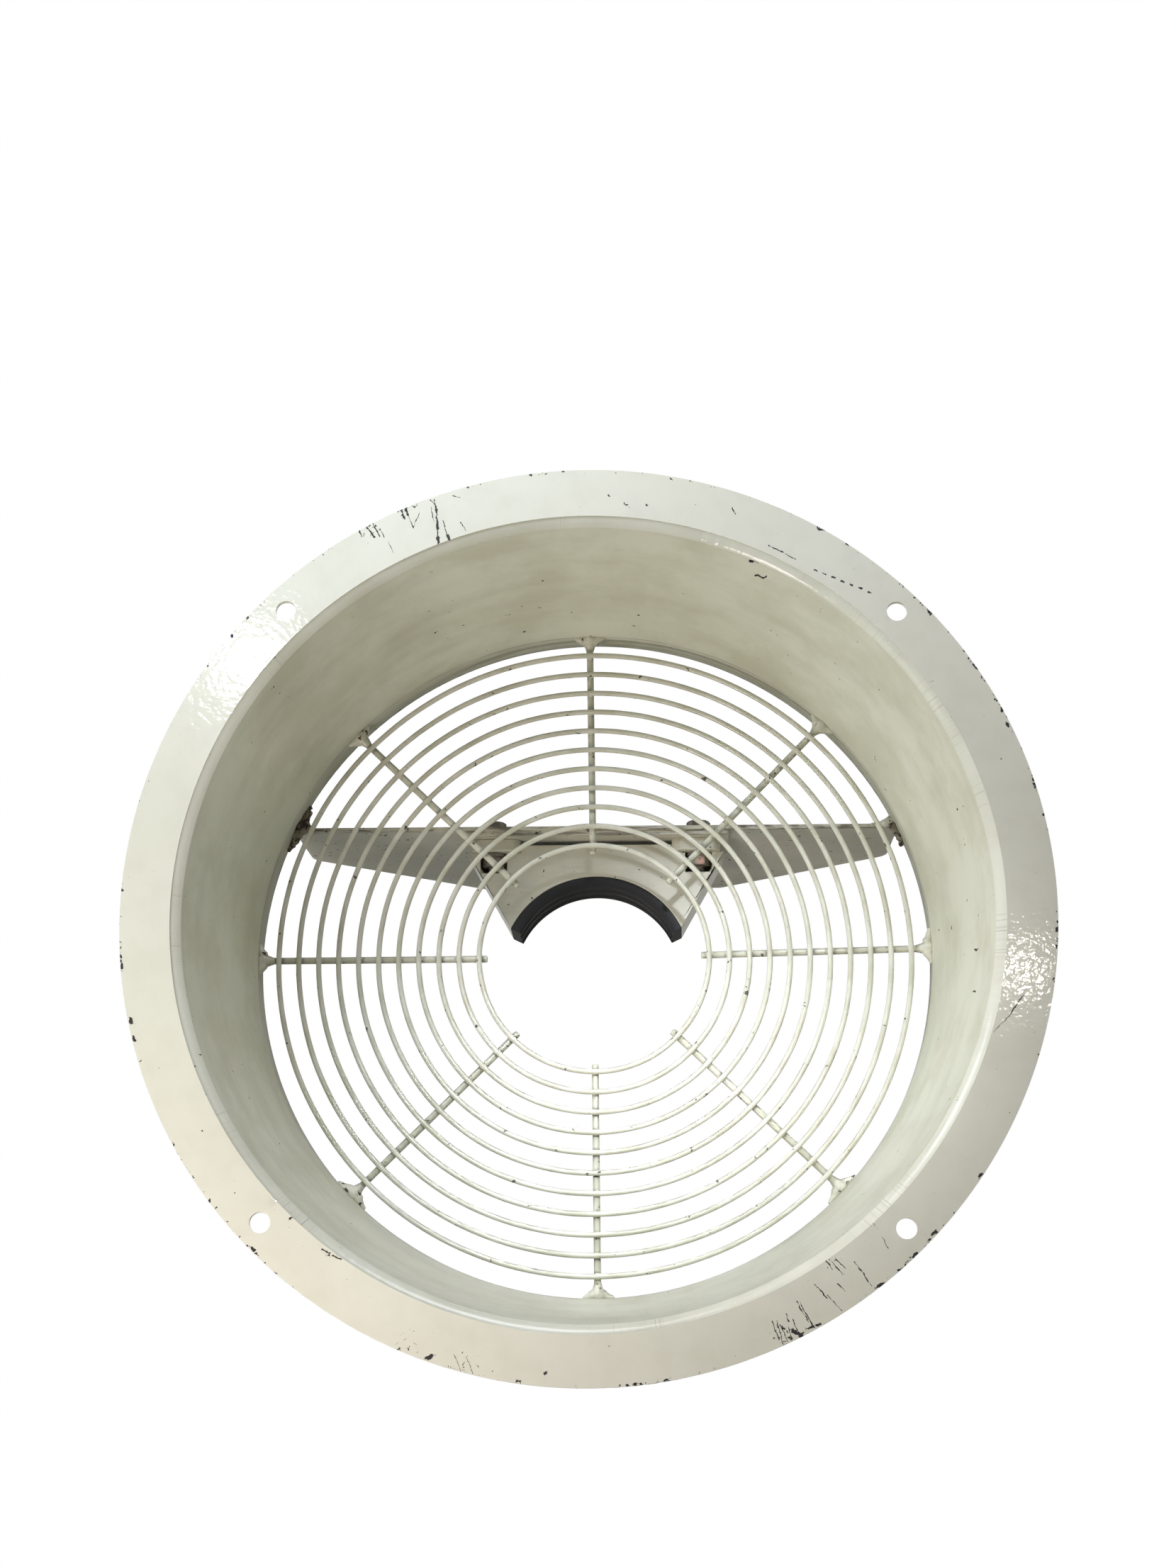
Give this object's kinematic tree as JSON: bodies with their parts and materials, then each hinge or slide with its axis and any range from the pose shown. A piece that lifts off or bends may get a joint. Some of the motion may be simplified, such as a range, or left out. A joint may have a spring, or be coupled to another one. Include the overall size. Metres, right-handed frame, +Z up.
{
  "type": "extractor fan housing",
  "caption": "Round flanged steel casing of an extractor fan, with a welded ring guard across its duct and a rubber-lined motor cradle bolted under a platform behind it.",
  "frame": {"origin": "centre of the mouth flange's face", "axes": "+Y along the duct's axis from the mouth to the rear, -Y out of the mouth, +Z up towards the motor platform, +X to the right as seen from the mouth"},
  "size_m": [0.4079, 0.242, 0.408],
  "materials": {
    "casing_paint": "gloss cream-grey enamel over steel, slightly orange-peeled, chipped at the rim",
    "guard_paint": "gloss cream-grey enamel over wire, with dark pits at the welds",
    "bracket_paint": "cream-grey enamel over sheet steel, thin and worn along the edges",
    "rubber": "matt black moulded rubber",
    "dark_steel": "dark, oiled and slightly rusty steel"
  },
  "bodies": {
    "root": {"mouth_flange": "casing_paint", "duct_shell": "casing_paint", "motor_platform": "bracket_paint", "mounting_strip": "bracket_paint", "cradle_front_plate": "bracket_paint", "cradle_rear_plate": "bracket_paint", "saddle_band": "bracket_paint", "cradle_side_left": "bracket_paint", "cradle_side_right": "bracket_paint", "cradle_foot_left": "bracket_paint", "cradle_foot_right": "bracket_paint", "rubber_saddle": "rubber", "cradle_bolts": "dark_steel", "platform_washers": "dark_steel", "nut_washers": "dark_steel", "cradle_nuts": "dark_steel", "guard_ring_01": "guard_paint", "guard_ring_02": "guard_paint", "guard_ring_03": "guard_paint", "guard_ring_04": "guard_paint", "guard_ring_05": "guard_paint", "guard_ring_06": "guard_paint", "guard_ring_07": "guard_paint", "guard_ring_08": "guard_paint", "guard_ring_09": "guard_paint", "guard_ring_10": "guard_paint", "guard_ring_11": "guard_paint", "guard_bar_1": "guard_paint", "guard_bar_2": "guard_paint", "guard_bar_3": "guard_paint", "guard_bar_4": "guard_paint", "guard_bar_5": "guard_paint", "guard_bar_6": "guard_paint", "guard_bar_7": "guard_paint", "guard_bar_8": "guard_paint"}
  },
  "joints": []
}
